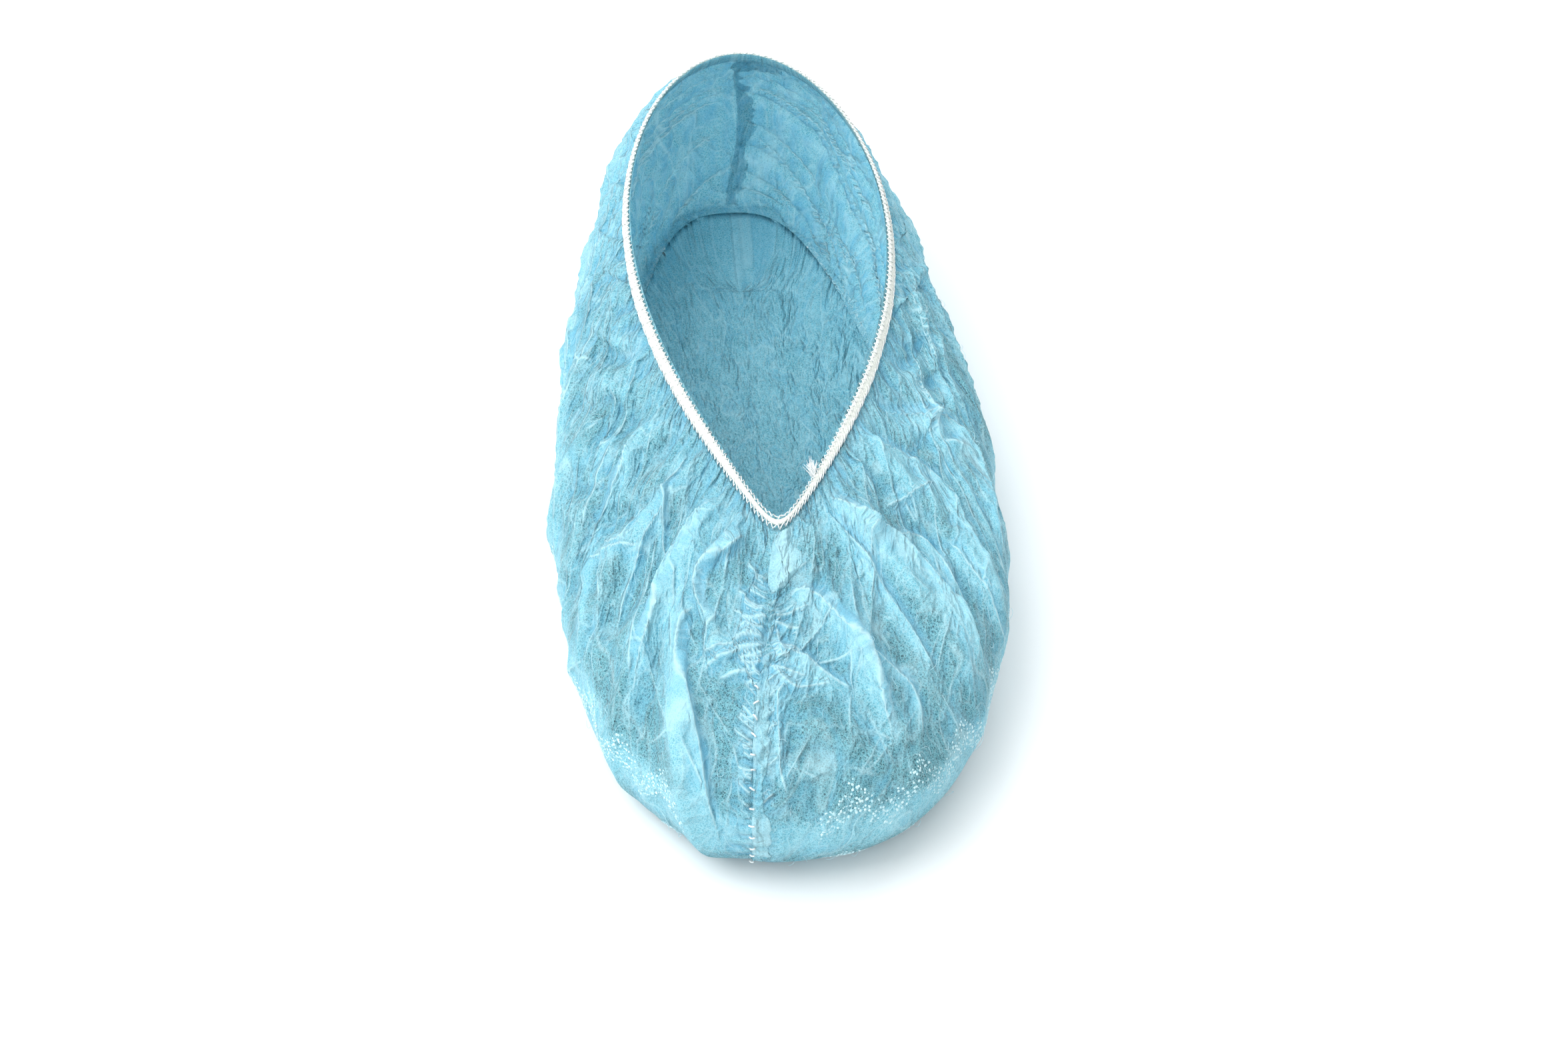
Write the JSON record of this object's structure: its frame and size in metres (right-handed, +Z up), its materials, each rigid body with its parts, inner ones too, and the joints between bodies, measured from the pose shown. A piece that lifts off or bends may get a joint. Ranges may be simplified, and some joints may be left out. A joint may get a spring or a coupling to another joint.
{
  "type": "disposable anti-slip shoe cover",
  "caption": "Elasticated nonwoven shoe cover in worn form, open at the mouth, with gathered toe and heel seams and zigzag grip print on the sole.",
  "frame": {"origin": "middle of the bounding box in plan, at the floor under the sole", "axes": "+Y along the foot from toe to heel, so the toe points to -Y; +Z up out of the mouth; +X to the wearer's right"},
  "size_m": [0.1318, 0.3046, 0.07],
  "materials": {
    "nonwoven": "matte spunbond, pale blue, thin and slightly translucent",
    "elastic": "matte ribbed knit, off-white",
    "grip_print": "satin dots of printed anti-slip compound, off-white"
  },
  "bodies": {
    "root": {"bag": "nonwoven", "elastic_band": "elastic", "toe_seam": "nonwoven", "heel_seam": "nonwoven", "sole_stripe_right_1": "grip_print", "sole_stripe_right_2": "grip_print", "sole_stripe_right_3": "grip_print", "edge_stripe_right_1": "grip_print", "edge_stripe_right_2": "grip_print", "sole_stripe_left_1": "grip_print", "sole_stripe_left_2": "grip_print", "sole_stripe_left_3": "grip_print", "edge_stripe_left_1": "grip_print", "edge_stripe_left_2": "grip_print"}
  },
  "joints": []
}
